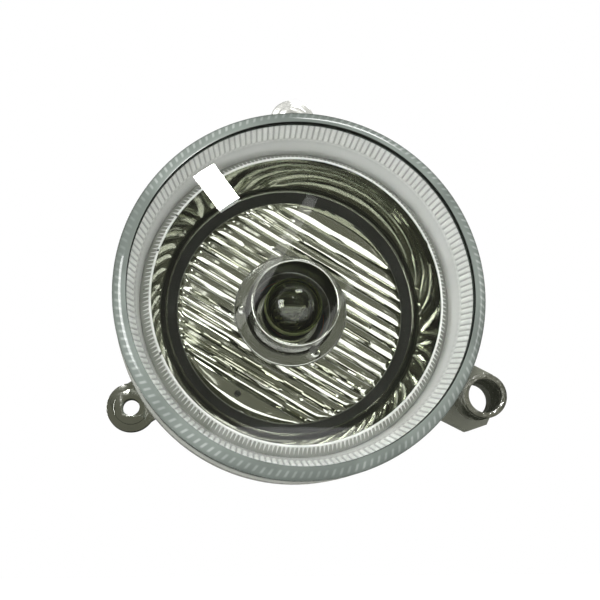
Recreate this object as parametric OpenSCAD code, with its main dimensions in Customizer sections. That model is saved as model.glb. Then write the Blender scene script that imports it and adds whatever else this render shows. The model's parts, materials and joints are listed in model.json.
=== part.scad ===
// Round automotive fog light. The lamp axis is Y and the lens faces -Y, with +Z up.
// The origin is on the lamp axis, in the plane of the three rear mounting faces.

/* [Lens] */
// Outer diameter over the lens rim
lens_d = 95; // [80:0.5:120]
// Thickness of the lens face
face_t = 2.4; // [2:0.1:3]
// Height of the domed face over the rim
lens_crown = 3; // [1:0.5:8]
// Radius of the rounded lens rim
rim_round = 3.5; // [3.2:0.1:4.5]
// From the front of the rim to the end of the skirt
skirt_depth = 20; // [16:0.5:26]
// Wall of the skirt's tongue, which stands in the sealant
tongue_wall = 1.7; // [1.4:0.1:2.2]
// Length of the tongue
tongue_length = 3.2; // [2.6:0.1:4]

/* [Reflector] */
// Wall of the housing moulding
housing_wall = 2.5; // [2:0.1:3.2]
// Width of the bezel ring, from its front edge in to its foot
bezel_w = 3.2; // [2.6:0.1:4]
// Height of the serrated bead over the bezel's foot
bead_h = 4.4; // [3.5:0.1:5.5]
// From the bead's crest back to the fluted disc
bowl_depth = 18.2; // [15:0.1:22]
// How much the bowl narrows on the way
bowl_taper = 3.85; // [3:0.05:5]
// Width of the step between the bowl and the disc
step_w = 3.1; // [2:0.1:4]
// Radius of the vent hole in the disc
vent_hole_r = 0.9; // [0.6:0.1:1.2]
// From the disc's edge in to the vent
vent_inset = 3.9; // [3.5:0.1:6]

/* [Mounting] */
// From the channel's floor back to the mounting faces
seat_drop = 7.8; // [6.8:0.1:9]
// From the lens rim out to the centre of the left ear
left_ear_reach = 3.5; // [3.2:0.1:10]
// From the lens rim out to the centre of the top ear
top_ear_reach = 7.2; // [3.2:0.1:10]
// Radius of an ear's screw hole
ear_hole_r = 2.2; // [1.6:0.1:2.8]
// Wall of an ear round its hole
ear_wall = 4.2; // [3:0.1:6]
// Thickness of an ear
ear_t = 3.5; // [2.8:0.1:4.5]
// From the lens rim out to the centre of the adjuster boss
boss_reach = 8.5; // [7.5:0.1:14]
// Radius of the adjuster bore
boss_bore_r = 4.55; // [3.5:0.05:5.5]
// Wall of the adjuster boss
boss_wall = 1.35; // [1:0.05:2]
// Length of the adjuster boss
boss_length = 14; // [11:0.5:18]
// Width of the plate behind the boss
lug_w = 17.4; // [14:0.1:21]

/* [Bulb] */
// Radius of the bulb glass
glass_r = 8; // [6.6:0.1:9.6]
// Straight length of the glass behind its dome
glass_straight = 10.5; // [8.5:0.5:12.5]
// Wall of the bulb base round the glass
pilot_wall = 1.8; // [1.5:0.1:2.4]
// Radial gap between the bulb base and its bore
bulb_gap = 0.3; // [0.2:0.05:0.5]
// How far the bayonet lugs stand past the bore
lug_reach = 2.2; // [1.5:0.1:3]
// Angle from locked to free
unlock_angle = 35; // [25:1:42]
// Height of the bulb shield over the disc
shield_h = 13; // [8:0.5:16]
// Width of the shield's flange
shield_flange_w = 3.6; // [3.2:0.1:4.6]

/* [Connector] */
// Inside width of the connector shroud
socket_w = 15; // [12.5:0.5:18]
// Inside height of the connector shroud
socket_h = 9; // [7.5:0.5:11]
// Depth of the connector socket
socket_depth = 13; // [11:0.5:16]
// Distance between the two blades
blade_pitch = 6; // [5:0.1:7.2]
// Width of a blade
blade_w = 2.8; // [2:0.1:3.4]
// Thickness of a blade
blade_t = 0.63; // [0.5:0.01:0.8]
// Length of a blade inside the socket
blade_length = 8; // [6:0.5:10]

/* [Hidden] */
$fn = 96;
// How far a cut runs past the face it opens
eps = 0.5;

// Angles round the lamp axis, seen from the front, anticlockwise from +X
left_ear_angle = 213;
top_ear_angle = 90;
boss_angle = 334;
vent_angle = 238;
rivet_angles = [60, 180, 300];
gusset_angles = [15:60:315];

// Lens and channel, worked inwards and back from the rim
lens_r = lens_d / 2;
skirt_r = lens_r - 0.4;
tongue_r = lens_r - 1.3;
tongue_in_r = tongue_r - tongue_wall;
channel_gap = 0.35;
channel_out_r = tongue_r + channel_gap;
channel_in_r = tongue_in_r - channel_gap;
channel_wall = 2.2;
shoulder_depth = skirt_depth - tongue_length;
channel_floor = skirt_depth + 1.2;
seal_top = skirt_depth - 1.8;
flange_r = channel_out_r + 1.2;
flange_top = shoulder_depth + 0.2;

// Bezel ring, standing on the shelf beside the channel
bezel_front_r = channel_in_r + 0.1;
bezel_wall = 1.1;
bezel_gap = 0.1;
bezel_front_depth = face_t + 1;
flute_end_r = bezel_front_r - 0.62 * bezel_w;
flute_end_depth = (bezel_front_depth + shoulder_depth) / 2 - 1.1;
shelf_r = bezel_front_r - bezel_w;
shelf_depth = shoulder_depth + 0.4;
foot_t = 1;

// Bead, bowl and disc, worked inwards and back from the shelf
bead_r = shelf_r - 2.7;
bead_depth = shelf_depth - bead_h;
disc_depth = bead_depth + bowl_depth;
disc_back = disc_depth + housing_wall;
bowl_end_r = bead_r - bowl_taper;
bowl_end_depth = disc_depth - 2;
disc_r = bowl_end_r - step_w;
vent_place_r = disc_r - vent_inset;

// Ears, boss and plate
seat_depth = channel_floor + seat_drop;
left_ear_place_r = lens_r + left_ear_reach;
top_ear_place_r = lens_r + top_ear_reach;
ear_r = ear_hole_r + ear_wall;
ear_pad_r = ear_hole_r + 2.3;
ear_pad_t = 0.8;
boss_place_r = lens_r + boss_reach;
boss_r = boss_bore_r + boss_wall;
arm_in_r = bowl_end_r + 1.2;
rib_in_r = bead_r - 1.3;
rib_front = channel_floor + 1;
rib_t = 2;
lug_t = 4;
lug_chamfer = 4;
gusset_t = 1.6;

// Bulb glass, its clip and cup, and the bore they go through
clip_wall = 0.4;
cup_in_r = glass_r + clip_wall;
cup_wall = 0.5;
cup_r = cup_in_r + cup_wall;
pilot_r = cup_r + pilot_wall;
bulb_bore_r = pilot_r + bulb_gap;

// Bayonet in the neck behind the disc
lug_r = bulb_bore_r + lug_reach;
pocket_r = lug_r + 0.4;
neck_r = pocket_r + 2.5;
lug_h = 2.2;
lug_play = 0.3;
lip_t = 2.4;
pocket_front = disc_back + 8.2;
lug_front = pocket_front + lug_play;
lug_back = lug_front + lug_h;
lip_front = lug_back + lug_play;
neck_end = lip_front + lip_t;
lug_angles = [30, 150, 270];
lug_half = 13;
notch_half = 16;

// Bulb, from its base forwards to the tip
base_front = pocket_front - 0.7;
glass_end = base_front - 5.5;
dome_depth = glass_end - glass_straight;
glass_wall = 0.9;
lead_r = 0.4;
lead_x = blade_pitch / 2;
pinch_w = blade_pitch + 4.5;
pinch_t = 3.4;
pinch_end = glass_end + 8;
clip_front = glass_end - 1.5;
clip_end = base_front + 1.2;
cup_front = base_front - 2.5;
cup_end = base_front + 4;
pit_r = pinch_w / 2 + 1.15;
pit_end = pinch_end + 4.5;
filament_depth = dome_depth - 0.5;
filament_r = 0.65;
bridge_depth = dome_depth + 5;
bridge_r = 1.4;

// Shield and rivets round the bulb
shield_wall = 0.8;
shield_flange_t = 0.8;
shield_r = bulb_bore_r + 0.2 + shield_wall;
shield_flange_r = shield_r + shield_flange_w;
rivet_place_r = shield_r + shield_flange_w / 2;
rivet_r = 0.8;
rivet_head_r = 1.5;
rivet_sink = 2;

// Base behind the neck, and the connector
ring_section = 2.2;
ring_gap = 0.1;
base_flange_front = neck_end + ring_gap + ring_section;
base_flange_back = base_flange_front + 2.6;
base_flange_r = neck_r;
barrel_r = 9.8;
grip_r = barrel_r + 3.6;
shroud_wall = 1.8;
shroud_front = base_flange_back + 2;
socket_floor = base_flange_back + 4.5;
socket_end = socket_floor + socket_depth;
blade_front = pinch_end + 3;
blade_end = socket_floor + blade_length;

// Vent behind the disc
spigot_r = 3.2;
spigot_end = disc_back + 6;
membrane_t = 0.4;
membrane_end = spigot_end + membrane_t;
cap_r = spigot_r + 1.7;
cap_front = disc_back + 1;
cap_end = membrane_end + 1.6;

// Children are drawn as seen from the front, with x right, y up and depths behind the rim
module face_front() {
    rotate([90, 0, 0])
        translate([0, 0, seat_depth])
            children();
}

// A solid of revolution from points [radius, depth]
module turned(points) {
    rotate_extrude()
        polygon([for (p = points) [p[0], -p[1]]]);
}

// A round bar between two depths
module bar(r, from, to) {
    translate([0, 0, -to])
        cylinder(h = to - from, r = r);
}

// A rectangular block, centred across, between two depths
module block(w, h, from, to) {
    translate([-w / 2, -h / 2, -to])
        cube([w, h, to - from]);
}

// A ring between two radii and two depths
module ring(in_r, out_r, from, to) {
    difference() {
        bar(out_r, from, to);
        bar(in_r, from - eps, to + eps);
    }
}

// Places children at a radius and an angle round the lamp axis, with x pointing outwards
module around(place_r, angle) {
    rotate([0, 0, angle])
        translate([place_r, 0, 0])
            children();
}

// The part of a ring within an angle either side of +X, between two angles
module sector(in_r, out_r, from, to, start, end) {
    reach = 3 * out_r;
    mid = (start + end) / 2;
    intersection() {
        ring(in_r, out_r, from, to);
        translate([0, 0, -to - eps])
            linear_extrude(height = to - from + 2 * eps)
                polygon([[0, 0], [reach * cos(start), reach * sin(start)],
                    [reach * cos(mid), reach * sin(mid)],
                    [reach * cos(end), reach * sin(end)]]);
    }
}

// Radius of the mirror bowl at a depth
function bowl_r(depth) =
    bead_r + (bowl_end_r - bead_r) * (depth - bead_depth) / (bowl_end_depth - bead_depth);

// Points [radius, depth] along an arc
function arc(r, centre, start, end, steps) =
    [for (i = [0:steps]) let (a = start + (end - start) * i / steps)
        [centre[0] + r * cos(a), centre[1] - r * sin(a)]];

// Points [radius, depth] of a shallow dome from the axis out to a radius, given its crown and rim depths
function dome(edge_r, crown_depth, rim_depth, steps) =
    let (rise = rim_depth - crown_depth, big_r = (edge_r * edge_r + rise * rise) / (2 * rise))
    [for (i = [0:steps]) let (r = edge_r * i / steps)
        [r, crown_depth + big_r - sqrt(big_r * big_r - r * r)]];

module lens() {
    face_r = lens_r - rim_round;
    inner_round = rim_round - face_t;
    color([0.75, 0.8, 0.78, 0.4])
        face_front()
            turned(concat(
                dome(face_r, -lens_crown, 0, 16),
                arc(rim_round, [face_r, rim_round], 75, 0, 6),
                [[skirt_r, shoulder_depth], [tongue_r, shoulder_depth], [tongue_r, skirt_depth],
                    [tongue_in_r, skirt_depth], [tongue_in_r, shoulder_depth]],
                arc(inner_round, [tongue_in_r - inner_round, face_t + inner_round], 0, 75, 5),
                [for (i = [16:-1:0]) dome(tongue_in_r - inner_round, face_t - lens_crown, face_t, 16)[i]]));
}

module bezel_ring() {
    color([0.72, 0.74, 0.73])
        face_front()
            turned([[bezel_front_r, bezel_front_depth], [flute_end_r, flute_end_depth],
                [shelf_r, shelf_depth], [bezel_front_r, shelf_depth],
                [bezel_front_r, shelf_depth - foot_t], [shelf_r + bezel_wall, shelf_depth - foot_t],
                [flute_end_r + bezel_wall, flute_end_depth + 0.4],
                [tongue_in_r - bezel_gap, bezel_front_depth + 0.6]]);
}

// Bowl, disc and the channel for the lens, cored out from behind between the bowl and the channel
module housing_shell() {
    core_depth = shelf_depth + channel_wall;
    turned([
        [0, disc_depth], [disc_r, disc_depth], [bowl_end_r, bowl_end_depth], [bead_r, bead_depth],
        [shelf_r, shelf_depth - 0.4], [shelf_r, shelf_depth], [channel_in_r, shelf_depth],
        [channel_in_r, channel_floor], [channel_out_r, channel_floor], [channel_out_r, flange_top],
        [flange_r, flange_top], [flange_r, channel_floor + housing_wall],
        [channel_in_r - channel_wall, channel_floor + housing_wall],
        [channel_in_r - channel_wall, core_depth], [bowl_r(core_depth) + housing_wall, core_depth],
        [bowl_end_r + housing_wall, bowl_end_depth + 0.8],
        [disc_r + 1.5, disc_back], [0, disc_back]]);
}

// A part of the moulding outside the shell, ending face to face on it, with a round hole
module outside_shell(place_r, angle, hole_r) {
    color([0.78, 0.79, 0.77])
        face_front()
            difference() {
                around(place_r, angle)
                    children();
                housing_shell();
                around(place_r, angle)
                    bar(hole_r, 0, 2 * seat_depth);
            }
}

// One screw ear: a round plate with a front pad, an arm to the bowl and two side ribs
module ear(place_r, angle) {
    arm = place_r - arm_in_r;
    rib = place_r - ear_pad_r - rib_in_r;
    front = seat_depth - ear_t;
    outside_shell(place_r, angle, ear_hole_r) {
        bar(ear_r, front, seat_depth);
        bar(ear_pad_r, front - ear_pad_t, front + eps);
        translate([-arm / 2, 0, 0])
            block(arm, 2 * ear_r - 1, front, seat_depth);
        for (side = [-1, 1])
            translate([-ear_pad_r - rib / 2, side * (ear_r - 0.5 - rib_t / 2), 0])
                block(rib, rib_t, rib_front, front + eps);
    }
}

module left_ear() {
    ear(left_ear_place_r, left_ear_angle);
}

module top_ear() {
    ear(top_ear_place_r, top_ear_angle);
}

// The adjuster boss with its plate, whose outer corners are chamfered, and a rib
module adjuster_boss() {
    reach = boss_place_r - arm_in_r;
    rib = boss_place_r - boss_bore_r - boss_wall / 2 - rib_in_r;
    outside_shell(boss_place_r, boss_angle, boss_bore_r) {
        translate([0, 0, -seat_depth])
            linear_extrude(height = lug_t)
                polygon([[-reach, -lug_w / 2], [boss_r - lug_chamfer, -lug_w / 2],
                    [boss_r, -lug_w / 2 + lug_chamfer], [boss_r, lug_w / 2 - lug_chamfer],
                    [boss_r - lug_chamfer, lug_w / 2], [-reach, lug_w / 2]]);
        bar(boss_r, seat_depth - boss_length, seat_depth - eps);
        translate([rib / 2 + rib_in_r - boss_place_r, 0, 0])
            block(rib, rib_t, rib_front, seat_depth - eps);
    }
}

// A thin three-cornered rib between the disc's back and the bulb neck
module gusset(angle) {
    rotate([0, 0, angle])
        rotate([90, 0, 0])
            translate([0, 0, -gusset_t / 2])
                linear_extrude(height = gusset_t)
                    polygon([[neck_r - 1, -disc_back + 1], [disc_r, -disc_back + 1], [disc_r, -disc_back],
                        [neck_r, -neck_end + 6], [neck_r - 1, -neck_end + 6]]);
}

module reflector_housing() {
    color([0.78, 0.79, 0.77])
        face_front()
            difference() {
                union() {
                    housing_shell();
                    bar(neck_r, disc_depth + 1, neck_end);
                    for (a = gusset_angles)
                        gusset(a);
                    around(vent_place_r, vent_angle)
                        bar(spigot_r, disc_depth + 1, spigot_end);
                }
                bar(bulb_bore_r, disc_depth - eps, neck_end + eps);
                for (a = lug_angles) {
                    sector(bulb_bore_r - eps, pocket_r, pocket_front, lip_front,
                        a - unlock_angle - notch_half, a + notch_half);
                    sector(bulb_bore_r - eps, pocket_r, lip_front - eps, neck_end + eps,
                        a - unlock_angle - notch_half, a - unlock_angle + notch_half);
                }
                around(vent_place_r, vent_angle)
                    bar(vent_hole_r, disc_depth - eps, spigot_end + eps);
                for (a = rivet_angles)
                    around(rivet_place_r, a)
                        bar(rivet_r, disc_depth - eps, disc_depth + rivet_sink);
            }
}

module lens_seal() {
    color([0.12, 0.12, 0.12])
        face_front()
            difference() {
                ring(channel_in_r, channel_out_r, seal_top, channel_floor);
                ring(tongue_in_r, tongue_r, seal_top - eps, skirt_depth);
            }
}

// A pressed collar with a flat flange, riveted to the disc
module bulb_shield() {
    flange_front = disc_depth - shield_flange_t;
    color([0.8, 0.8, 0.79])
        face_front()
            difference() {
                turned([
                    [shield_r - shield_wall, disc_depth], [shield_flange_r, disc_depth],
                    [shield_flange_r, flange_front], [shield_r + 0.3, flange_front],
                    [shield_r, flange_front - 0.5], [shield_r, disc_depth - shield_h],
                    [shield_r - shield_wall, disc_depth - shield_h]]);
                for (a = rivet_angles)
                    around(rivet_place_r, a)
                        bar(rivet_r, flange_front - eps, disc_depth + eps);
            }
}

module shield_rivets() {
    seat = disc_depth - shield_flange_t;
    color([0.85, 0.85, 0.84])
        face_front()
            for (a = rivet_angles)
                around(rivet_place_r, a)
                    turned([[0, seat - 0.8], [rivet_r, seat - 0.7], [rivet_head_r - 0.1, seat - 0.3],
                        [rivet_head_r, seat], [rivet_r, seat], [rivet_r, disc_depth + rivet_sink],
                        [0, disc_depth + rivet_sink]]);
}

module vent_membrane() {
    color([0.9, 0.9, 0.9])
        face_front()
            around(vent_place_r, vent_angle)
                bar(spigot_r, spigot_end, membrane_end);
}

// A rubber cap over the spigot, open through two side slots beside the membrane
module vent_cap() {
    color([0.1, 0.1, 0.1])
        face_front()
            around(vent_place_r, vent_angle)
                difference() {
                    bar(cap_r, cap_front, cap_end);
                    bar(spigot_r, cap_front - eps, membrane_end);
                    block(2 * cap_r + 1, 1.2, membrane_end - eps, membrane_end + 0.6);
                }
}

// The hollow glass, sealed to a flat pinch that the two leads run through
module bulb_glass() {
    inner_r = glass_r - glass_wall;
    color([0.8, 0.82, 0.72, 0.35])
        face_front()
            difference() {
                union() {
                    translate([0, 0, -dome_depth])
                        sphere(r = glass_r);
                    bar(glass_r, dome_depth, glass_end);
                    block(pinch_w, pinch_t, glass_end - eps, pinch_end);
                }
                translate([0, 0, -dome_depth])
                    sphere(r = inner_r);
                bar(inner_r, dome_depth, glass_end - 1.2);
                for (side = [-1, 1])
                    translate([side * lead_x, 0, 0])
                        bar(lead_r, glass_end - 2, pinch_end + eps);
            }
}

module filament() {
    color([0.45, 0.45, 0.47])
        face_front()
            translate([-lead_x + lead_r, 0, -filament_depth])
                rotate([0, 90, 0])
                    cylinder(h = 2 * (lead_x - lead_r), r = filament_r);
}

// One lead: from beside the filament back through the bridge and the pinch to its blade
module lead(side) {
    face_front()
        translate([side * lead_x, 0, 0])
            bar(lead_r, filament_depth - filament_r, blade_front);
}

module live_lead() {
    color([0.6, 0.6, 0.62])
        lead(1);
}

module earth_lead() {
    color([0.6, 0.6, 0.62])
        lead(-1);
}

module lead_bridge() {
    length = blade_pitch + 2.4;
    color([0.8, 0.85, 0.85, 0.5])
        face_front()
            difference() {
                translate([-length / 2, 0, -bridge_depth])
                    rotate([0, 90, 0])
                        cylinder(h = length, r = bridge_r);
                for (side = [-1, 1])
                    translate([side * lead_x, 0, 0])
                        bar(lead_r, bridge_depth - 2 * bridge_r, bridge_depth + 2 * bridge_r);
            }
}

module glass_clip() {
    color([0.7, 0.7, 0.7])
        face_front()
            ring(glass_r, glass_r + clip_wall, clip_front, clip_end);
}

module bulb_cup() {
    floor_t = 0.6;
    color([0.75, 0.75, 0.74])
        face_front() {
            ring(cup_in_r, cup_r, cup_front, cup_end);
            ring(pit_r, cup_r, cup_end - floor_t, cup_end);
        }
}

// Shroud with a socket for the harness plug, closed at the barrel end
module connector_shroud() {
    block(socket_w + 2 * shroud_wall, socket_h + 2 * shroud_wall, shroud_front, socket_end);
    translate([0, socket_h / 2 + shroud_wall + 0.6, 0])
        block(5, 2, socket_end - 5, socket_end - 2.5);
}

module bulb_base() {
    color([0.16, 0.16, 0.17])
        face_front()
            difference() {
                union() {
                    bar(pilot_r, base_front, base_flange_front + eps);
                    for (a = lug_angles)
                        sector(pilot_r - eps, lug_r, lug_front, lug_back, a - lug_half, a + lug_half);
                    bar(base_flange_r, base_flange_front, base_flange_back);
                    bar(barrel_r, base_flange_back - eps, socket_floor + 1);
                    connector_shroud();
                    for (side = [-1, 1])
                        translate([side * (grip_r - 2), 0, 0])
                            block(4, 2.4, base_flange_back - eps, socket_floor + 4);
                }
                block(socket_w, socket_h, socket_floor, socket_end + eps);
                bar(cup_r, base_front - eps, cup_end);
                bar(pit_r, cup_end - eps, pit_end);
                for (side = [-1, 1])
                    translate([side * lead_x, 0, 0])
                        block(blade_w, blade_t, blade_front, socket_floor + eps);
            }
}

// A squeezed ring with flat faces against the base flange and the housing
module bulb_o_ring() {
    round_r = 0.64 * ring_section;
    half = ring_section / 2;
    mid_depth = base_flange_front - half;
    color([0.55, 0.2, 0.12])
        face_front()
            turned([for (a = [0:15:345]) [
                pilot_r + round_r * (1 + cos(a)),
                mid_depth + max(-half, min(half, round_r * sin(a)))]]);
}

module blade(side) {
    face_front()
        translate([side * lead_x, 0, 0])
            block(blade_w, blade_t, blade_front, blade_end);
}

module live_terminal() {
    color([0.8, 0.78, 0.7])
        blade(1);
}

module earth_terminal() {
    color([0.8, 0.78, 0.7])
        blade(-1);
}

lens();
bezel_ring();
reflector_housing();
left_ear();
top_ear();
adjuster_boss();
lens_seal();
bulb_shield();
shield_rivets();
vent_membrane();
vent_cap();
bulb_glass();
filament();
live_lead();
earth_lead();
lead_bridge();
glass_clip();
bulb_cup();
bulb_base();
bulb_o_ring();
live_terminal();
earth_terminal();
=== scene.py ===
import json
import math

import bmesh
import bpy
from mathutils import Matrix, Vector, noise

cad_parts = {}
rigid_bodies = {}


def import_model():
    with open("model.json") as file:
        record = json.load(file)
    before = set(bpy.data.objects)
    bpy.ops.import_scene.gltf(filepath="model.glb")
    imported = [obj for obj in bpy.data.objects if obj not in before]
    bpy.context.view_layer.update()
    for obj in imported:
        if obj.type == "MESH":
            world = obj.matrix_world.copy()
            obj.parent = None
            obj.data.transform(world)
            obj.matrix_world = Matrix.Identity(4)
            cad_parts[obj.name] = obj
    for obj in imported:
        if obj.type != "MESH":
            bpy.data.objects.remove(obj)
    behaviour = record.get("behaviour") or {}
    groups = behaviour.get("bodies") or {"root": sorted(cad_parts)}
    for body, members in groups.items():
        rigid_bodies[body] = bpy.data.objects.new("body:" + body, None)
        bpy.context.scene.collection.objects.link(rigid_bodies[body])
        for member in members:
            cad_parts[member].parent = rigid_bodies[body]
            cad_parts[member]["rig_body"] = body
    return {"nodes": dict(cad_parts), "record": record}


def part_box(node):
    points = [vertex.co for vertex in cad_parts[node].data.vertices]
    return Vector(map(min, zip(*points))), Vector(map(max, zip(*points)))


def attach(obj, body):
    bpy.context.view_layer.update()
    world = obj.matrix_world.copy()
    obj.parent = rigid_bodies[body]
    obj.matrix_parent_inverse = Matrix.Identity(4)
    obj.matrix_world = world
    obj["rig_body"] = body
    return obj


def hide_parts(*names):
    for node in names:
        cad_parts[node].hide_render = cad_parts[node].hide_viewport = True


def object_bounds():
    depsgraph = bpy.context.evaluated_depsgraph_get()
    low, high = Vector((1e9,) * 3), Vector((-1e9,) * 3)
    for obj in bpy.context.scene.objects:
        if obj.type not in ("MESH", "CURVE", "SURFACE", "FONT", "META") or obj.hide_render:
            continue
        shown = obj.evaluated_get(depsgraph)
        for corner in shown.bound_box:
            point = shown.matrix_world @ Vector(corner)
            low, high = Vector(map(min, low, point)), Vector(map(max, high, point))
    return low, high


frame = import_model()
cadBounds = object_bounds()

# Lengths below are millimetres and depths run back from the lens rim, as on the drawing.
mm = 0.001
turn = 2 * math.pi
lampAxis = (0, 1, 0)
lens = {
    "crown": 3.0,  # the dome stands this far before the rim
    "thickness": 2.4,
    "rimRound": 3.5,
    "skirtRadius": 47.1,
    "tongueOut": 46.2,
    "tongueIn": 44.5,
    "shoulder": 16.8,
    "end": 20.0,
    "edgeFrom": 44.35,  # the clear window ends and the painted grey edge starts here
    "chamfer": 0.2,
    "gleams": 150,  # painted slanted gleams round the edge
    "gleamFrom": 45.0,
    "gleamTo": 47.0,
    "gleamFade": 0.5,
}
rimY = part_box("lens")[0].y + lens["crown"] * mm
discDepth = (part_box("bulb_shield")[1].y - rimY) / mm
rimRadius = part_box("lens")[1].x / mm
print("frame loaded: rim at", round(rimY / mm, 2), "disc depth", round(discDepth, 2))


def at(radius, depth, angle=0.0):  # a point by its radius, depth and angle seen from the front
    turned = math.radians(angle)
    return Vector((radius * mm * math.cos(turned), rimY + depth * mm, radius * mm * math.sin(turned)))


# shader maths

class Sock:  # a node's output, which Python's operators work on
    def __init__(self, recipe, socket):
        self.recipe = recipe
        self.socket = socket

    def __add__(self, other):
        return self.recipe.maths("ADD", self, other)

    def __mul__(self, other):
        return self.recipe.maths("MULTIPLY", self, other)

    def __sub__(self, other):
        return self.recipe.maths("SUBTRACT", self, other)

    def __rsub__(self, other):
        return self.recipe.maths("SUBTRACT", other, self)

    __radd__ = __add__
    __rmul__ = __mul__


class Recipe:  # one material's nodes
    def __init__(self, name):
        self.material = bpy.data.materials.new(name)
        self.material.use_nodes = True
        self.tree = self.material.node_tree
        self.tree.nodes.clear()
        self.place = self.node("ShaderNodeTexCoord", output=3)

    def node(self, kind, settings=None, sockets=None, output=0):
        made = self.tree.nodes.new(kind)
        for key, value in (settings or {}).items():
            setattr(made, key, value)
        for key, value in (sockets or {}).items():
            if isinstance(value, Sock):
                self.tree.links.new(value.socket, made.inputs[key])
            else:
                made.inputs[key].default_value = value
        return Sock(self, made.outputs[output])

    def noise(self, scale, detail=3.0, stretch=(1, 1, 1)):  # scale in waves a metre
        stretched = self.node("ShaderNodeMapping", {}, {"Vector": self.place, "Scale": stretch})
        return self.node("ShaderNodeTexNoise", {}, {"Vector": stretched, "Scale": scale, "Detail": detail})

    def spread(self, value, low, high, toLow=0.0, toHigh=1.0):
        return self.node("ShaderNodeMapRange", {"clamp": True}, {
            "Value": value, "From Min": low, "From Max": high, "To Min": toLow, "To Max": toHigh})

    def mix(self, share, first, second):
        first, second = (c if isinstance(c, Sock) else (*c, 1) for c in (first, second))
        return self.node("ShaderNodeMix", {"data_type": "RGBA"}, {0: share, 6: first, 7: second}, 2)

    def radius(self, centre=(0, 0, 0)):  # distance from a line along the lamp axis, in metres
        off = self.node("ShaderNodeVectorMath", {"operation": "SUBTRACT"}, {0: self.place, 1: centre})
        flat = self.node("ShaderNodeVectorMath", {"operation": "MULTIPLY"}, {0: off, 1: (1, 0, 1)})
        return self.node("ShaderNodeVectorMath", {"operation": "LENGTH"}, {0: flat}, 1)

    def depth(self):  # metres along the lamp axis
        return self.node("ShaderNodeSeparateXYZ", {}, {0: self.place}, 1)

    def radiusFade(self, start, end, centre=(0, 0, 0)):  # 0 at the first radius and 1 at the second
        return self.spread(self.radius(centre), start * mm, end * mm)

    def depthFade(self, start, end):  # 0 at the first depth and 1 at the second
        return self.spread(self.depth(), rimY + start * mm, rimY + end * mm)

    def bump(self, height, strength, distance):
        return self.node("ShaderNodeBump", {}, {
            "Height": height, "Strength": strength, "Distance": distance})

    def angle(self):  # turns round the lamp axis, from 0 to 1
        axes = self.node("ShaderNodeSeparateXYZ", {}, {0: self.place})
        across = Sock(self, axes.socket.node.outputs[0])
        up = Sock(self, axes.socket.node.outputs[2])
        return self.maths("ARCTAN2", up, across) * (1 / turn) + 0.5

    def maths(self, operation, *values):
        return self.node("ShaderNodeMath", {"operation": operation}, dict(enumerate(values)))

    def surface(self, sockets):  # the finished Principled shader
        shader = self.node("ShaderNodeBsdfPrincipled", {}, sockets)
        out = self.tree.nodes.new("ShaderNodeOutputMaterial")
        self.tree.links.new(shader.socket, out.inputs["Surface"])
        return self.material


bezel = {
    "frontRadius": 43.95,  # a dark gap is left between it and the lens
    "front": 3.4,
    "fluteEndRadius": 42.27,
    "fluteEnd": 9.0,
    "band": [(41.78, 11.2), (41.35, 14.2)],  # the smooth band passes through these
    "footRadius": 41.05,
    "foot": 17.2,
    "back": [(44.25, 17.2), (44.25, 16.2), (42.15, 16.2), (43.37, 9.4), (44.05, 3.9)],
    "flutes": 180,
    "fluteHeight": 0.46,
    "fluteFade": 0.9,
    "grooveShade": 0.36,
    "bandShade": 0.16,
}
moat = {"inner": (31.1, 31.6), "outer": (34.3, 34.0), "depth": (28.9, 29.1)}  # the step round the disc, darkened with painted shade
vent = {  # a dark hole through the disc
    "radius": 27.5,
    "angle": 238,
    "hole": 0.9,
    "shade": (1.5, 1.3),  # radii between which painted shade darkens the housing behind the hole
    "shadeDepth": (32.0, 31.5),
}
bossPlate = (24.7, 25.0)  # the tube's metal gives way to the plate's skin between these depths


# materials

texture = {  # noise in waves a metre and bump depths in metres
    "mirror": {"cloud": 140, "fine": 2600, "swell": 90, "bump": 0.0006},
    "plastic": {"cloud": 120, "fine": 1500, "bump": 0.00008},
    "wire": {"lines": 900, "bump": 0.00003},
    "clear": {"haze": 300},
    "satin": {"cloud": 160, "fine": 2200, "bump": 0.00005},
    "lensEdge": {"cloud": 60, "slant": 1500, "bump": 0.00008},
    "boss": {"cloud": 260, "pits": 900, "bump": 0.0006},
    "specks": {"spots": 420, "size": (0.735, 0.75)},
    "floor": {"cloud": 3},
}
bareOrShadedColour = (0.012, 0.013, 0.010)  # where no metal lies, and the colour of painted shade


def dimmed(colour, share):
    return tuple(share * part for part in colour)


def makeMirror(name, tint, rough, wave, dullness=0.0, shadeMask=None):
    # the mask is a function of the recipe that says where painted shade goes, drawn as dark bare plastic
    # with no metal
    grain = texture["mirror"]
    paint = Recipe(name)
    cloud = paint.noise(grain["cloud"], 3)
    fine = paint.noise(grain["fine"], 2)
    colour = paint.mix(paint.spread(cloud, 0.35, 0.7), tint, dimmed(tint, 0.9))
    roughness = paint.spread(fine * 0.4 + cloud * 0.6, 0.35, 0.7, rough, rough + 0.07 + dullness)
    metal = 1.0
    if shadeMask:
        shadeShare = shadeMask(paint)
        colour = paint.mix(shadeShare, colour, bareOrShadedColour)
        roughness = roughness + shadeShare * 0.85
        metal = 1 - shadeShare
    swell = paint.noise(grain["swell"], 2)
    normal = paint.bump(swell + fine * 0.05, wave, grain["bump"])
    return paint.surface({"Base Color": colour, "Metallic": metal, "Roughness": roughness, "Normal": normal})


def makePlastic(name, dark, light, rough, fineness=texture["plastic"]["fine"]):
    grain = texture["plastic"]
    paint = Recipe(name)
    cloud = paint.noise(grain["cloud"], 4)
    fine = paint.noise(fineness, 3)
    colour = paint.mix(paint.spread(cloud, 0.35, 0.68), dark, light)
    roughness = paint.spread(fine, 0.3, 0.7, rough - 0.07, rough + 0.08)
    normal = paint.bump(fine, 0.25, grain["bump"])
    return paint.surface({"Base Color": colour, "Roughness": roughness, "Normal": normal})


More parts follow.
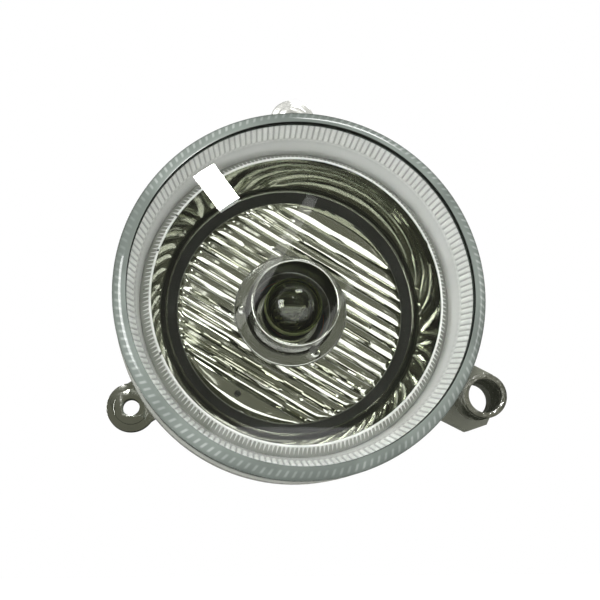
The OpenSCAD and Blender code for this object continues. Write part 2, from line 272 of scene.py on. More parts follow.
def makeWire(name, tint, rough, stretch):
    grain = texture["wire"]
    paint = Recipe(name)
    lines = paint.noise(grain["lines"], 3, stretch)
    colour = paint.mix(lines, dimmed(tint, 0.75), tint)
    roughness = paint.spread(lines, 0.3, 0.7, rough, rough + 0.15)
    normal = paint.bump(lines, 0.3, grain["bump"])
    return paint.surface({"Base Color": colour, "Metallic": 1.0, "Roughness": roughness, "Normal": normal})


def makeClear(name, tint, edge, rimFrom, rimTo, gloss=0.5):
    paint = Recipe(name)
    share = paint.radiusFade(rimFrom, rimTo)
    haze = paint.noise(texture["clear"]["haze"], 3)
    colour = paint.mix(share, tint, edge)
    roughness = paint.spread(haze, 0.3, 0.75, 0.0, 0.012)
    return paint.surface({
        "Base Color": colour, "Roughness": roughness, "IOR": 1.45, "Transmission Weight": 1.0,
        "Specular IOR Level": gloss})


def groovesAndBand(paint, colour):  # painted shade between two flutes of the bezel, and painted shade on the smooth band behind
    across = paint.maths("COSINE", paint.angle() * (turn * bezel["flutes"]))
    fluted = paint.depthFade(bezel["fluteEnd"] + 0.1, bezel["fluteEnd"] - bezel["fluteFade"])
    grooves = paint.spread(across, 0.25, 0.95) * fluted * bezel["grooveShade"]
    band = paint.depthFade(bezel["fluteEnd"] + 0.2, bezel["fluteEnd"] + 0.8) * bezel["bandShade"]
    return paint.mix(band, paint.mix(grooves, colour, bareOrShadedColour), bareOrShadedColour)


def speckled(paint, colour):  # a few dark flaws in the metal
    grain = texture["specks"]
    spots = paint.spread(paint.noise(grain["spots"], 1), *grain["size"])
    return paint.mix(spots, colour, bareOrShadedColour)


def ventShaded(paint, colour):  # painted shade: the housing behind the vent hole is darkened so the hole looks dark
    near = paint.radiusFade(*vent["shade"], tuple(at(vent["radius"], 0, vent["angle"])))
    return paint.mix(near * paint.depthFade(*vent["shadeDepth"]), colour, bareOrShadedColour)


def makeSatin(name, bright, dull, metal, marks=None):  # bright satin metal that also scatters a little
    # marks is a function that darkens the colour in places
    grain = texture["satin"]
    paint = Recipe(name)
    cloud = paint.noise(grain["cloud"], 3)
    fine = paint.noise(grain["fine"], 3)
    colour = paint.mix(paint.spread(cloud, 0.3, 0.7), bright, dull)
    if marks:
        colour = marks(paint, colour)
    roughness = paint.spread(fine, 0.3, 0.7, 0.12, 0.20)
    normal = paint.bump(fine, 0.15, grain["bump"])
    return paint.surface({"Base Color": colour, "Metallic": metal, "Roughness": roughness, "Normal": normal})


def makeLensEdge(name, dark, light):
    # the lens is thick at its rim; there it is drawn opaque and painted teal-grey for the dark seen through
    # it, with painted slanting gleams that stand for reflections of the flutes inside
    grain = texture["lensEdge"]
    paint = Recipe(name)
    phase = paint.angle() * (turn * lens["gleams"]) + paint.radius() * grain["slant"]
    slanted = paint.maths("SINE", phase)
    cloud = paint.noise(grain["cloud"], 2)
    starting = paint.radiusFade(lens["gleamFrom"], lens["gleamFrom"] + lens["gleamFade"])
    ending = paint.radiusFade(lens["gleamTo"], lens["gleamTo"] - lens["gleamFade"])
    gleam = paint.spread(slanted, 0.1, 0.9) * starting * ending * paint.spread(cloud, 0.35, 0.65, 0.15, 0.8)
    ground = paint.mix(paint.spread(cloud, 0.4, 0.6), dark, dimmed(dark, 1.35))
    colour = paint.mix(gleam, ground, light)
    roughness = paint.spread(cloud, 0.3, 0.7, 0.06, 0.16)
    normal = paint.bump(gleam, 0.2, grain["bump"])
    return paint.surface({"Base Color": colour, "Roughness": roughness, "IOR": 1.5, "Normal": normal})


def makeBossFinish(name, metal, plate):
    # bright rough metal on the tube, and a dull olive skin on the plate behind it
    grain = texture["boss"]
    paint = Recipe(name)
    cloud = paint.noise(grain["cloud"], 4)
    pits = paint.noise(grain["pits"], 3)
    onPlate = paint.depthFade(*bossPlate)
    tube = paint.mix(paint.spread(cloud, 0.35, 0.65), metal, dimmed(metal, 0.6))
    colour = paint.mix(onPlate, tube, plate)
    shine = 1 - onPlate * 0.75
    roughness = paint.spread(pits, 0.3, 0.7, 0.10, 0.28) + onPlate * 0.25
    normal = paint.bump(cloud * 0.7 + pits * 0.3, 0.6, grain["bump"])
    return paint.surface({"Base Color": colour, "Metallic": shine, "Roughness": roughness, "Normal": normal})


def moatShade(paint):  # painted shade: the recessed moat is drawn as dark bare plastic with no metal
    inner = paint.radiusFade(*moat["inner"])
    outer = paint.radiusFade(*moat["outer"])
    return inner * outer * paint.depthFade(*moat["depth"])


finishes = {
    "lensPlastic": makeClear("clearLens", (0.975, 0.985, 0.98), (0.9, 0.93, 0.92), 42.0, 44.5, 0.035),
    "lensEdge": makeLensEdge("lensEdge", (0.088, 0.100, 0.091), (0.24, 0.26, 0.245)),
    "bezel": makeSatin("satinFlutedMetal", (0.97, 0.97, 0.95), (0.92, 0.93, 0.90), 0.12, groovesAndBand),
    "bead": makeSatin("serratedBeadMetal", (0.98, 0.98, 0.96), (0.92, 0.93, 0.90), 0.1, speckled),
    "mirror": makeMirror("metallisedMirror", (0.74, 0.75, 0.66), 0.035, 0.12),
    # painted shade: the bowl takes the disc's metal, tinted much darker, with its moat darker still
    "bowlMirror": makeMirror("bowlMirror", (0.25, 0.26, 0.21), 0.03, 0.12, 0.0, moatShade),
    "ear": makeMirror("metallisedEar", (0.62, 0.63, 0.58), 0.08, 0.5, 0.05),
    # painted light: a paler copy of the ears' metal that scatters more, so the top ear looks lit
    "topEar": makeSatin("topEarMetal", (0.80, 0.80, 0.77), (0.60, 0.60, 0.57), 0.7),
    "boss": makeBossFinish("bossMetal", (0.88, 0.88, 0.84), (0.135, 0.14, 0.11)),
    "back": makeSatin("metallisedBack", (0.55, 0.56, 0.52), (0.46, 0.47, 0.43), 0.5, ventShaded),
    "steel": makeMirror("pressedSteel", (0.62, 0.63, 0.58), 0.07, 0.1, 0.05),
    # painted shade: a dark copy of the steel for the shield's walls behind its rim
    "darkSteel": makeMirror("darkSteel", (0.055, 0.057, 0.045), 0.14, 0.15, 0.05),
    "blackEdge": makePlastic("blackBezelEdge", (0.004, 0.004, 0.004), (0.008, 0.008, 0.008), 0.7),
    "sealant": makePlastic("blackSealant", (0.012, 0.012, 0.012), (0.03, 0.03, 0.03), 0.6),
    "capRubber": makePlastic("capRubber", (0.018, 0.018, 0.019), (0.04, 0.04, 0.042), 0.62),
    "film": makePlastic("ventFilm", (0.78, 0.78, 0.76), (0.9, 0.9, 0.88), 0.8, 4000),
    "base": makePlastic("blackBulbBase", (0.022, 0.022, 0.024), (0.05, 0.05, 0.053), 0.42),
    "silicone": makePlastic("redSilicone", (0.26, 0.055, 0.02), (0.42, 0.11, 0.045), 0.5),
    # painted reflection: the glass is tinted olive, darker towards its edge, for the base's colour seen in
    # it
    "bulbGlass": makeClear("bulbGlass", (0.80, 0.84, 0.62), (0.70, 0.76, 0.50), 6.5, 8.0, 0.9),
    # painted highlight: an opaque bright olive ring at the glass's edge
    "bulbRim": makePlastic("bulbRim", (0.46, 0.52, 0.24), (0.62, 0.68, 0.36), 0.14),
    # painted shade: the bridge's glass is tinted dark so it sinks into the bulb's dark middle
    "bridgeGlass": makeClear("bridgeGlass", (0.30, 0.34, 0.27), (0.25, 0.3, 0.24), 3.0, 4.5),
    "tungsten": makeWire("tungstenCoil", (0.36, 0.36, 0.38), 0.32, (3, 1, 1)),
    "nickel": makeWire("nickelLead", (0.62, 0.61, 0.58), 0.28, (1, 0.08, 1)),
    "blade": makeWire("tinnedBlade", (0.78, 0.75, 0.66), 0.24, (1, 0.06, 1)),
}
print("finishes made:", len(finishes))


# mesh helpers

def arc(radius, depth, size, start, end, steps):  # points round a centre, 0 outwards and 90 frontwards
    angles = [math.radians(start + (end - start) * i / steps) for i in range(steps + 1)]
    return [(radius + size * math.cos(a), depth - size * math.sin(a)) for a in angles]


def dome(edge, crownDepth, rimDepth, steps):  # points from the crown of a ball's cap out to its edge
    rise = rimDepth - crownDepth
    ball = (edge * edge + rise * rise) / (2 * rise)
    radii = [edge * i / steps for i in range(steps + 1)]
    return [(radius, crownDepth + ball - math.sqrt(ball * ball - radius ** 2)) for radius in radii]


def line(start, end, steps):
    return [(start[0] + (end[0] - start[0]) * i / steps, start[1] + (end[1] - start[1]) * i / steps)
            for i in range(steps + 1)]


def chain(bm, points, closed=True):  # the outline's vertices and edges
    verts = [bm.verts.new(at(radius, depth)) for radius, depth in points]
    pairs = list(zip(verts, verts[1:]))
    if closed:
        pairs.append((verts[-1], verts[0]))
    return verts + [bm.edges.new(pair) for pair in pairs]


sharpAngle = 35  # degrees from which an edge is drawn sharp
weldDistance = 2e-6


def settle(bm, name, body, slot, finish, replaced=(), crease=sharpAngle, outward=True):
    # finish is one finish or several, which the faces number from 0
    if outward:
        bmesh.ops.remove_doubles(bm, verts=bm.verts, dist=weldDistance)
        bmesh.ops.recalc_face_normals(bm, faces=bm.faces)
    mesh = bpy.data.meshes.new(name)
    shade(bm, crease)
    bm.to_mesh(mesh)
    bm.free()
    piece = bpy.data.objects.new(name, mesh)
    bpy.context.scene.collection.objects.link(piece)
    for each in [finish] if isinstance(finish, str) else finish:
        mesh.materials.append(finishes[each])
    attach(piece, body)
    if replaced:
        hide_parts(*replaced)
    return piece


def shade(bm, crease):
    for face in bm.faces:
        face.smooth = True
    for edge in bm.edges:
        edge.smooth = len(edge.link_faces) == 2 and edge.calc_face_angle() < math.radians(crease)


def turnedSkin(points, steps, closed=True):  # an open outline starts or ends on the lamp axis
    bm = bmesh.new()
    bmesh.ops.spin(
        bm, geom=chain(bm, points, closed=closed), cent=(0, 0, 0), axis=lampAxis, angle=turn, steps=steps,
        use_merge=True)
    bmesh.ops.remove_doubles(bm, verts=bm.verts, dist=weldDistance)
    bmesh.ops.recalc_face_normals(bm, faces=bm.faces)
    return bm


def flutedPiece(name, points, front, hidden, count, height, first, last, fade, steps=5, **others):
    # One flute is spun and raised between the depths first and last, and then repeated round the ring.
    # It runs along the first points of the outline, as many as front says.
    # The points from number hidden on lie out of sight and take the second finish.
    bm = bmesh.new()
    pitch = turn / count
    bmesh.ops.spin(bm, geom=chain(bm, points), cent=(0, 0, 0), axis=lampAxis, angle=pitch, steps=steps)
    unseen = points[hidden:] + points[:1]
    for face in bm.faces:
        face.material_index = int(all(onFront(v, unseen) for v in face.verts))
    top = [v for v in bm.verts if first <= (v.co.y - rimY) / mm <= last and onFront(v, points[:front])]
    for vert in top:
        depth = (vert.co.y - rimY) / mm
        share = (math.atan2(-vert.co.z, vert.co.x) % turn) / pitch
        ends = min(1, (depth - first) / fade + 0.05, (last - depth) / fade + 0.05)
        lift = height * mm * math.sin(math.pi * min(1, max(0, share))) ** 0.8 * max(0, ends)
        vert.co -= Vector((vert.co.x, 0, vert.co.z)).normalized() * lift
    bmesh.ops.spin(
        bm, geom=bm.verts[:] + bm.edges[:] + bm.faces[:], cent=(0, 0, 0), axis=lampAxis,
        angle=turn - pitch, steps=count - 1, use_duplicate=True)
    return settle(bm, name, **others)


def onFront(vert, points):
    radius = math.hypot(vert.co.x, vert.co.z) / mm
    depth = (vert.co.y - rimY) / mm
    return any(abs(radius - r) < 0.01 and abs(depth - d) < 0.01 for r, d in points)


def softened(node, name, slot, finish, width, chosen=None):
    # a copy of a drawn part with its sharp edges bevelled, or only those whose middle chosen() accepts
    flatAngle = 0.6  # degrees below which two faces are one
    bm = bmesh.new()
    bm.from_mesh(frame["nodes"][node].data)
    bmesh.ops.remove_doubles(bm, verts=bm.verts, dist=3e-6)
    bmesh.ops.dissolve_limit(bm, angle_limit=math.radians(flatAngle), verts=bm.verts, edges=bm.edges)
    folded = [e for e in bm.edges if len(e.link_faces) == 2]
    edges = [e for e in folded if e.calc_face_angle() > math.radians(sharpAngle)]
    if chosen:
        edges = [e for e in edges if chosen((e.verts[0].co + e.verts[1].co) / 2)]
    bmesh.ops.bevel(
        bm, geom=edges, offset=width * mm, offset_type="OFFSET", segments=2, profile=0.5,
        affect="EDGES", clamp_overlap=True, material=-1)
    body = frame["nodes"][node]["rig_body"]
    return settle(bm, name, body, slot, finish, [node])


# lens

def makeLens():
    faceRadius = rimRadius - lens["rimRound"]
    inner = lens["rimRound"] - lens["thickness"]
    corner = lens["tongueIn"] - inner
    shoulder, end, chamfer = lens["shoulder"], lens["end"], lens["chamfer"]
    outside = dome(faceRadius, -lens["crown"], 0, 22)
    outside += arc(faceRadius, lens["rimRound"], lens["rimRound"], 78, 0, 9)
    skirt = [(lens["skirtRadius"] + chamfer / 2, shoulder - chamfer),
             (lens["skirtRadius"] - chamfer / 2, shoulder),
             (lens["tongueOut"], shoulder),
             (lens["tongueOut"], end - chamfer),
             (lens["tongueOut"] - chamfer, end),
             (lens["tongueIn"] + chamfer, end),
             (lens["tongueIn"], end - chamfer),
             (lens["tongueIn"], shoulder)]
    inside = arc(corner, lens["rimRound"], inner, 0, 78, 6)
    inside += dome(corner, lens["thickness"] - lens["crown"], lens["thickness"], 22)[::-1]
    bm = turnedSkin(outside + skirt + inside, 180, closed=False)
    for face in bm.faces:
        middle = face.calc_center_median()
        face.material_index = int(math.hypot(middle.x, middle.z) > lens["edgeFrom"] * mm)
    return settle(bm, "clearLens", "lamp", "clear_lens", ("lensPlastic", "lensEdge"), ["lens"])


makeLens()
print("lens made")


# fluted bezel ring

def makeBezel():
    fluted = line((bezel["frontRadius"], bezel["front"]), (bezel["fluteEndRadius"], bezel["fluteEnd"]), 16)
    seen = fluted + bezel["band"] + [(bezel["footRadius"], bezel["foot"] - 0.15)]
    back = [(bezel["footRadius"] + 0.15, bezel["foot"])] + bezel["back"]
    return flutedPiece(
        "flutedBezel", seen + back, len(fluted), len(seen), bezel["flutes"], bezel["fluteHeight"],
        bezel["front"] + 0.3, bezel["fluteEnd"], bezel["fluteFade"], body="lamp", slot="frosted_ring",
        finish=("bezel", "blackEdge"), replaced=["bezel_ring"])


makeBezel()
print("bezel made")


# reflector: serrated bead, bowl and fluted disc

bowl = {
    "crestRadius": 38.35,
    "crest": 12.8,
    "shelfRadius": 41.0,
    "shelf": 16.9,
    "endRadius": 34.5,
    "end": 29.0,
    "discRadius": 31.35,
    "skin": 0.12,  # how far the mirror skin stands proud
    "taper": 3.85,  # how much the bowl narrows
    "belly": 0.25,
    "length": 16.0,
    "serrations": 225,
    "serration": 0.34,
    "serrationFade": 0.5,
}


def makeBead():
    radius, crest, shelf = bowl["crestRadius"], bowl["crest"], bowl["shelf"]
    slope = line((bowl["shelfRadius"], shelf), (radius + 0.25, crest - 0.12), 5)
    seen = slope + [(radius - 0.1, crest - 0.2), (radius - 0.25, crest + 0.1)]
    buried = [(radius + 0.6, crest + 2.2), (bowl["shelfRadius"] + 0.1, shelf + 0.5)]
    return flutedPiece(
        "serratedBead", seen + buried, len(slope), len(seen), bowl["serrations"], bowl["serration"],
        crest - 0.1, shelf, bowl["serrationFade"], steps=4, body="lamp", slot="metallised",
        finish=("bead", "bead"))


def makeBowl():
    radius, crest, discRadius = bowl["crestRadius"], bowl["crest"], bowl["discRadius"]
    skin = discDepth - bowl["skin"]
    wall = [(radius - bowl["skin"], crest + 0.05)]
    for t in (i / 10 for i in range(1, 11)):
        belly = bowl["belly"] * math.sin(math.pi * t)
        wall.append((radius - bowl["skin"] - bowl["taper"] * t - belly, crest + bowl["length"] * t))
    lip = arc(bowl["endRadius"] - 0.2, bowl["end"] - 0.05, 0.28, 60, 200, 5)
    step = [(bowl["endRadius"] - 0.6, bowl["end"] + 0.2), (discRadius + 0.2, skin), (discRadius - 0.6, skin)]
    buried = [(discRadius - 0.6, discDepth + 0.3), (discRadius + 0.6, discDepth + 0.4),
              (bowl["endRadius"] + 0.5, bowl["end"] + 0.3), (radius + 0.4, crest + 0.6)]
    bm = turnedSkin(wall + lip + step + buried, 200)
    return settle(bm, "mirrorBowl", "lamp", "metallised", "bowlMirror")


makeBead()
makeBowl()

disc = {
    "fluteAngle": 150,  # the flutes run along this line, seen from the front
    "chord": 25.0,  # flutes stop here, and a smooth pillow goes on to the edge
    "fluteWidth": 3.3,
    "widthSway": 0.7,
    "swayStep": 1.9,
    "fluteHeight": 0.55,
    "fluteRoundness": 0.75,
    "pillowHeight": 0.9,
    "rise": 0.35,  # the disc comes forward this much at its edge
    "wave": 0.05,  # each flute swells along its length
    "waveLength": 13.0,
    "waveShift": 2.4,  # from one flute to the next, in radians
    "innerRadius": 15.75,
    "outerRadius": 31.2,
    "edgeFade": 2.6,
    "ground": 0.35,  # grooves above the drawn disc at the middle
    "blankHalf": 32.0,  # half the blank's width, which is cut to the disc afterwards
    "blankReach": 33.0,
    "rows": 88,
}


def fluteEdges():
    edges = [-disc["chord"]]
    while edges[-1] < disc["chord"]:
        sway = disc["widthSway"] * math.sin(disc["swayStep"] * len(edges))
        edges.append(edges[-1] + disc["fluteWidth"] + sway)
    stretch = 2 * disc["chord"] / (edges[-1] - edges[0])
    return [-disc["chord"] + (edge - edges[0]) * stretch for edge in edges]


def fluteProfile():  # across the flutes: each point's place, its rise and its flute's number
    edges = fluteEdges()
    half = disc["blankHalf"]
    spans = [(-half, edges[0], disc["pillowHeight"])]
    spans += [(low, high, disc["fluteHeight"]) for low, high in zip(edges, edges[1:])]
    spans.append((edges[-1], half, disc["pillowHeight"]))
    profile = []
    for number, (low, high, height) in enumerate(spans):
        steps = 8 if high - low < 5 else 14
        for i in range(steps):
            rise = height * math.sin(math.pi * i / steps) ** disc["fluteRoundness"]
            profile.append((low + (high - low) * i / steps, rise, number + 1))
    profile.append((half, 0.0, len(spans)))
    return profile


def discRise(radius, alongFlute, rise, number):  # millimetres in front of the drawn disc
    ending = min(1, max(0, (radius - disc["outerRadius"] + disc["edgeFade"]) / disc["edgeFade"]))
    swell = disc["wave"] * math.sin(turn * alongFlute / disc["waveLength"] + disc["waveShift"] * number)
    ground = disc["ground"] + disc["rise"] * (radius / disc["outerRadius"]) ** 2
    return ground + (rise + swell) * math.sqrt(1 - ending ** 2)


def makeDisc():
    direction = math.radians(disc["fluteAngle"])
    along = Vector((math.cos(direction), 0, math.sin(direction)))
    across = Vector((-along.z, 0, along.x))
    reach, rows = disc["blankReach"], disc["rows"]
    profile = fluteProfile()
    bm = bmesh.new()
    start = along * (-reach * mm)
    verts = [bm.verts.new(across * (place * mm) + start) for place, rise, number in profile]
    moving = verts + [bm.edges.new(pair) for pair in zip(verts, verts[1:])]
    for row in range(rows):
        edges = [g for g in moving if isinstance(g, bmesh.types.BMEdge)]
        moving = bmesh.ops.extrude_edge_only(bm, edges=edges)["geom"]
        ends = [g for g in moving if isinstance(g, bmesh.types.BMVert)]
        bmesh.ops.translate(bm, verts=ends, vec=along * (2 * reach / rows * mm))
    shapes = {round(place, 4): (rise, number) for place, rise, number in profile}
    for vert in bm.verts:
        rise, number = shapes.get(round(vert.co.dot(across) / mm, 4), (0.0, 0))
        forward = discRise(vert.co.length / mm, vert.co.dot(along) / mm, rise, number)
        vert.co.y = rimY + (discDepth - forward) * mm
    beyond = [v for v in bm.verts if math.hypot(v.co.x, v.co.z) > (disc["blankHalf"] + 3) * mm]
    bmesh.ops.delete(bm, geom=beyond, context="VERTS")
    grown = bmesh.ops.extrude_face_region(bm, geom=bm.faces[:])
    for vert in (g for g in grown["geom"] if isinstance(g, bmesh.types.BMVert)):
        vert.co.y = rimY + (discDepth + 0.3) * mm
    bmesh.ops.recalc_face_normals(bm, faces=bm.faces)
    return cutToDisc(bm)


def placed(bm, name):  # an object of this mesh
    mesh = bpy.data.meshes.new(name)
    bm.to_mesh(mesh)
    bm.free()
    made = bpy.data.objects.new(name, mesh)
    bpy.context.scene.collection.objects.link(made)
    return made


def ringCutter(name, inner, outer, steps, centre=(0, 0)):
    # a ring through the disc or, from radius 0, a rod
    front, back = discDepth - 6, discDepth + 0.2
    square = [(inner, front), (outer, front), (outer, back), (inner, back)]
    bm = turnedSkin(square, steps, closed=inner > 0)
    bmesh.ops.translate(bm, verts=bm.verts, vec=(centre[0], 0, centre[1]))
    return placed(bm, name)


def cutToDisc(bm):
    slab = placed(bm, "flutedSlab")
    mouth = at(vent["radius"], 0, vent["angle"])
    cutters = {"INTERSECT": ringCutter("discCutter", disc["innerRadius"], disc["outerRadius"], 128),
               "DIFFERENCE": ringCutter("ventCutter", 0, vent["hole"], 24, (mouth.x, mouth.z))}
    for operation, cutter in cutters.items():
        cut = slab.modifiers.new(operation, "BOOLEAN")
        cut.operation = operation
        cut.solver = "EXACT"
        cut.object = cutter
    bpy.context.view_layer.update()
    evaluated = slab.evaluated_get(bpy.context.evaluated_depsgraph_get())
    bm = bmesh.new()
    bm.from_mesh(bpy.data.meshes.new_from_object(evaluated))
    for made in (slab, *cutters.values()):
        bpy.data.objects.remove(made)
    return settle(bm, "flutedDisc", "lamp", "metallised", "mirror", crease=24)


makeDisc()
print("reflector made")


# bulb shield

shield = {
    "outer": 12.0,
    "top": 18.0,
    "roll": 0.42,
    "footRound": 0.7,
    "flange": 15.6,
    "flangeTop": 30.2,
    "edgeRound": 0.35,
    "darkFrom": 18.85,  # painted shade darkens the walls from this depth on, and out to this radius
    "darkTo": 12.8,
}


def makeShield():
    outer, roll = shield["outer"], shield["roll"]
    footRound, edgeRound = shield["footRound"], shield["edgeRound"]
    wall = [(outer - 2 * roll, discDepth)]
    rim = arc(outer - roll, shield["top"] + roll, roll, 0, 180, 8)[::-1]
    foot = arc(outer + footRound, shield["flangeTop"] - footRound, footRound, 180, 270, 5)
    edge = arc(shield["flange"] - edgeRound, shield["flangeTop"] + edgeRound, edgeRound, 90, 0, 4)
    bm = turnedSkin(wall + rim + foot + edge + [(shield["flange"], discDepth)], 128)
    for face in bm.faces:  # painted shade: the walls behind the rolled rim take the dark steel finish
        middle = face.calc_center_median()
        behind = middle.y > rimY + shield["darkFrom"] * mm
        face.material_index = int(behind and math.hypot(middle.x, middle.z) < shield["darkTo"] * mm)
    return settle(bm, "bulbShield", "lamp", "bright_steel", ("steel", "darkSteel"), ["bulb_shield"])


makeShield()


# bulb

bulb = {
    "radius": 8.0,
    "domeCentre": 25.0,
    "end": 35.5,
    "wall": 0.9,
    "rim": 0.42,  # width of the painted bright ring where the glass turns away
    "pinch": (10.5, 8.0, 3.4),  # width, length and thickness
    "pinchBlend": 2.4,
    "hollowCorner": 2.0,
}
coil = {"turns": 9, "steps": 14, "radius": 0.52, "wire": 0.12, "depth": 24.5, "half": 2.6}


def pressFlat(bm):  # behind the round part the glass is pressed flat
    width, length, thick = bulb["pinch"]
    for vert in bm.verts:
        behind = (vert.co.y - rimY) / mm - bulb["end"]
        share = min(1, max(0, behind / bulb["pinchBlend"]))
        share = share * share * (3 - 2 * share)
        flat = Vector((vert.co.x * width / 2 / bulb["radius"], vert.co.y, 0))
        flat.z = max(-thick / 2 * mm, min(thick / 2 * mm, vert.co.z))
        vert.co = vert.co.lerp(flat, share)


def makeHollow():
    radius, end, corner = bulb["radius"] - bulb["wall"], bulb["end"], bulb["hollowCorner"]
    inner = [(0, end - 0.4)] + arc(radius - corner, end - 0.4 - corner, corner, -90, 0, 6)
    inner += arc(0, bulb["domeCentre"], radius, 0, 90, 16)
    bm = turnedSkin(inner, 64, closed=False)
    bmesh.ops.reverse_faces(bm, faces=bm.faces[:])  # the glass lies outside its hollow
    mesh = bpy.data.meshes.new("bulbHollow")
    bm.to_mesh(mesh)
    bm.free()
    return mesh


def makeBulbGlass():
    radius, end = bulb["radius"], bulb["end"]
    back = end + bulb["pinch"][1]
    outer = arc(0, bulb["domeCentre"], radius, 90, 0, 16)
    outer += line((radius, bulb["domeCentre"] + 2), (radius, end), 6)
    outer += line((radius, end + 0.6), (radius, back), 8) + [(radius * 0.6, back), (0, back)]
    bm = turnedSkin(outer, 64, closed=False)
    pressFlat(bm)
    for face in bm.faces:  # painted highlight: an opaque bright olive ring where the glass turns away
        middle = face.calc_center_median()
        turned = math.hypot(middle.x, middle.z) > (radius - bulb["rim"]) * mm
        face.material_index = int(turned and middle.y < rimY + (bulb["domeCentre"] + 0.2) * mm)
    bm.from_mesh(makeHollow())
    return settle(
        bm, "bulbEnvelope", "bulb", "bulb_glass", ("bulbGlass", "bulbRim"), ["bulb_glass"], outward=False)


def makeCoil():
    bm = bmesh.new()
    steps = coil["steps"] * coil["turns"]
    middle = rimY + coil["depth"] * mm
    start = Vector((-coil["half"] * mm, middle, coil["radius"] * mm))
    bmesh.ops.create_circle(
        bm, segments=8, radius=coil["wire"] * mm,
        matrix=Matrix.Translation(start) @ Matrix.Rotation(math.pi / 2, 4, "X"))
    bmesh.ops.spin(
        bm, geom=bm.verts[:] + bm.edges[:], cent=(0, middle, 0), axis=(1, 0, 0),
        angle=turn * coil["turns"], steps=steps, dvec=(2 * coil["half"] * mm / steps, 0, 0))
    bmesh.ops.holes_fill(bm, edges=bm.edges, sides=8)
    return settle(bm, "tungstenCoil", "bulb", "tungsten", "tungsten", ["filament"])


makeBulbGlass()
makeCoil()
print("bulb made")


# drawn parts that keep their shape, softened at the edges

shellRadius = 48.3  # the edges inside it meet the housing and stay as drawn


def awayFromShell(point):
    return math.hypot(point.x, point.z) > shellRadius * mm


softened("left_ear", "leftEar", "metallised", "ear", 0.35, awayFromShell)
# the top ear takes the paler painted-light copy of the ears' metal
softened("top_ear", "topEar", "metallised", "topEar", 0.35, awayFromShell)
softened("adjuster_boss", "adjusterBoss", "metallised", "boss", 0.3, awayFromShell)

bossRim = {
    "inner": 4.6,
    "outer": 5.95,
    "front": 14.9,
    "back": 17.2,
    "lip": 0.45,
    "roughness": 0.2,
    "sideRoughness": 0.12,
    "roughLength": 1.4,
    "grain": 1400,
    "fineGrain": 3780,
}


def makeBossRim():  # the tube's end is rough, with chipped metal
    mount = next(m for m in frame["record"]["mounts"] if m["name"] == "adjuster_bore")
    middle = Vector((mount["pos_m"][0], 0, mount["pos_m"][2]))
    inner, outer, front, lip = bossRim["inner"], bossRim["outer"], bossRim["front"], bossRim["lip"]
    outline = arc(outer - lip, front + lip, lip, 0, 90, 4) + arc(inner + lip, front + lip, lip, 90, 180, 4)
    outline += [(inner, bossRim["back"]), (outer, bossRim["back"])]
    bm = turnedSkin(outline, 110)
    bmesh.ops.translate(bm, verts=bm.verts, vec=middle)
    for vert in bm.verts:
        behind = (vert.co.y - rimY) / mm - front
        share = max(0, 1 - behind / bossRim["roughLength"])
        chip = noise.noise(vert.co * bossRim["grain"]) * 0.6
        chip += noise.noise(vert.co * bossRim["fineGrain"]) * 0.4
        vert.co.y += share * bossRim["roughness"] * (0.5 + chip) * mm
        out = (vert.co - middle) * Vector((1, 0, 1))
        vert.co += out.normalized() * (chip * bossRim["sideRoughness"] * share * mm)
    return settle(bm, "bossRim", "lamp", "metallised", "boss", crease=50)


makeBossRim()
softened("bulb_base", "bulbBase", "base_plastic", "base", 0.25)
softened("vent_cap", "ventCap", "black_rubber", "capRubber", 0.4)
softened("shield_rivets", "shieldRivets", "bright_steel", "steel", 0.12)

kept = {  # nodes shown as drawn, and their finishes
    "reflector_housing": "back",
    "lens_seal": "sealant",
    "vent_membrane": "film",
    "live_lead": "nickel",
    "earth_lead": "nickel",
    "lead_bridge": "bridgeGlass",
    "glass_clip": "steel",
    "bulb_cup": "steel",
    "bulb_o_ring": "silicone",
    "live_terminal": "blade",
    "earth_terminal": "blade",
}
for node, finish in kept.items():
    mesh = frame["nodes"][node].data
    mesh.materials.clear()
    mesh.materials.append(finishes[finish])
print("drawn parts dressed")


# floor, light and camera

studio = {
    "floorDrop": 60,  # millimetres under the lamp, which its carrier holds up
    "floorSize": 0.55,  # half its width in metres
    "floorGlow": 0.4,
    "room": (0.030, 0.032, 0.024),  # what gloss sees beside the softboxes
    "softboxes": {  # place in metres, width and height, brightness, roll and colour
        "key": ((-0.120, -0.95, 0.505), (0.068, 0.125), 240, 37, (1, 1, 1)),
        "upperStrip": ((0.035, -0.90, 0.265), (0.03, 0.40), 1.3, -30, (1, 1, 0.97)),
        "lowerStrip": ((0.18, -0.90, 0.12), (0.016, 0.24), 0.9, -30, (1, 1, 0.95)),
        "backing": ((0.10, -1.00, 0.20), (1.5, 1.5), 0.12, 0, (1, 1, 0.80)),
        "high": ((0.30, -0.50, 0.85), (0.45, 0.2), 16, 0, (1, 1, 1)),
        "left": ((-0.80, -0.55, 0.05), (0.35, 0.6), 12, 0, (1, 1, 1)),
        "side": ((0.85, -0.35, 0.1), (0.2, 0.45), 3, 0, (1, 1, 1)),
    },
}


def makeFloor():
    low = cadBounds[0].z - studio["floorDrop"] * mm
    bm = bmesh.new()
    bmesh.ops.create_grid(
        bm, x_segments=8, y_segments=8, size=studio["floorSize"], matrix=Matrix.Translation((0, 0, low)))
    floor = placed(bm, "paleFloor")
    paint = Recipe("paleFloor")
    colour = paint.mix(paint.noise(texture["floor"]["cloud"], 2), (0.86, 0.86, 0.86), (0.9, 0.9, 0.9))
    floor.data.materials.append(paint.surface({
        "Base Color": colour, "Roughness": 0.9, "Emission Color": (1, 1, 1, 1),
        "Emission Strength": studio["floorGlow"]}))
    floor.visible_glossy = False


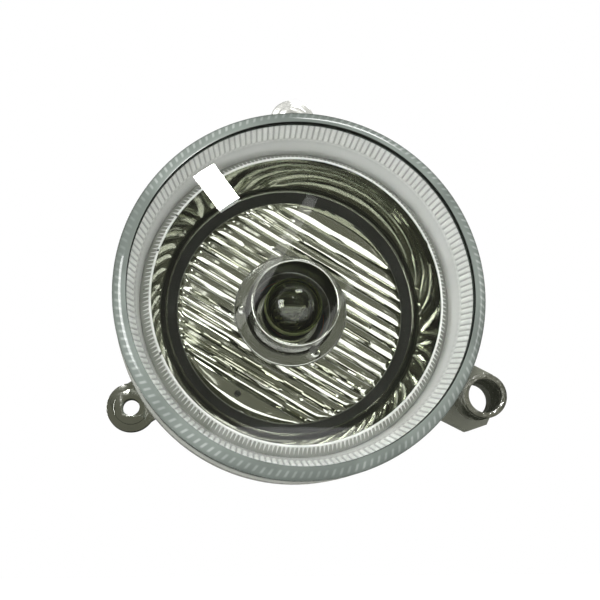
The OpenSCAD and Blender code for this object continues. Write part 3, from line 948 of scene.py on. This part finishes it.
def makeLight(name, place, size, brightness, roll, colour):
    # brightness is what its picture in a mirror shows
    data = bpy.data.lights.new(name, "AREA")
    data.shape = "RECTANGLE"
    data.size, data.size_y = size
    data.energy = brightness * math.pi * size[0] * size[1]
    data.color = colour
    light = bpy.data.objects.new(name, data)
    bpy.context.scene.collection.objects.link(light)
    aimed = (-Vector(place)).to_track_quat("-Z", "Y").to_matrix().to_4x4()
    light.matrix_world = Matrix.Translation(place) @ aimed @ Matrix.Rotation(math.radians(roll), 4, "Z")


def makeWorld():
    world = bpy.data.worlds.new("softStudio")
    world.use_nodes = True
    tree = world.node_tree
    tree.nodes.clear()
    path = tree.nodes.new("ShaderNodeLightPath")
    # the eye and matt surfaces meet white, and gloss meets the dim room
    bright = tree.nodes.new("ShaderNodeMath")
    bright.operation = "MAXIMUM"
    bright.use_clamp = True
    tree.links.new(path.outputs["Is Camera Ray"], bright.inputs[0])
    tree.links.new(path.outputs["Diffuse Depth"], bright.inputs[1])
    white = tree.nodes.new("ShaderNodeBackground")
    white.inputs["Color"].default_value = (1, 1, 1, 1)
    dim = tree.nodes.new("ShaderNodeBackground")
    dim.inputs["Color"].default_value = (*studio["room"], 1)
    chosen = tree.nodes.new("ShaderNodeMixShader")
    out = tree.nodes.new("ShaderNodeOutputWorld")
    tree.links.new(bright.outputs[0], chosen.inputs[0])
    tree.links.new(dim.outputs[0], chosen.inputs[1])
    tree.links.new(white.outputs[0], chosen.inputs[2])
    tree.links.new(chosen.outputs[0], out.inputs["Surface"])
    bpy.context.scene.world = world


makeFloor()
for name, values in studio["softboxes"].items():
    makeLight(name + "Softbox", *values)
makeWorld()

view = {"place": (-0.0308, -0.2651, -0.0541), "yaw": 7.16, "pitch": 12.075, "lens": 58.75}


def makeCamera():
    data = bpy.data.cameras.new("frontCamera")
    data.lens = view["lens"]
    data.sensor_width = 36
    data.clip_start = 0.01
    camera = bpy.data.objects.new("frontCamera", data)
    bpy.context.scene.collection.objects.link(camera)
    yaw, pitch = math.radians(view["yaw"]), math.radians(view["pitch"])
    ahead = Vector((math.sin(yaw) * math.cos(pitch), math.cos(yaw) * math.cos(pitch), math.sin(pitch)))
    turned = ahead.to_track_quat("-Z", "Y").to_matrix().to_4x4()
    camera.matrix_world = Matrix.Translation(view["place"]) @ turned
    bpy.context.scene.camera = camera


makeCamera()
bpy.context.scene.view_settings.view_transform = "Standard"
print("studio made")
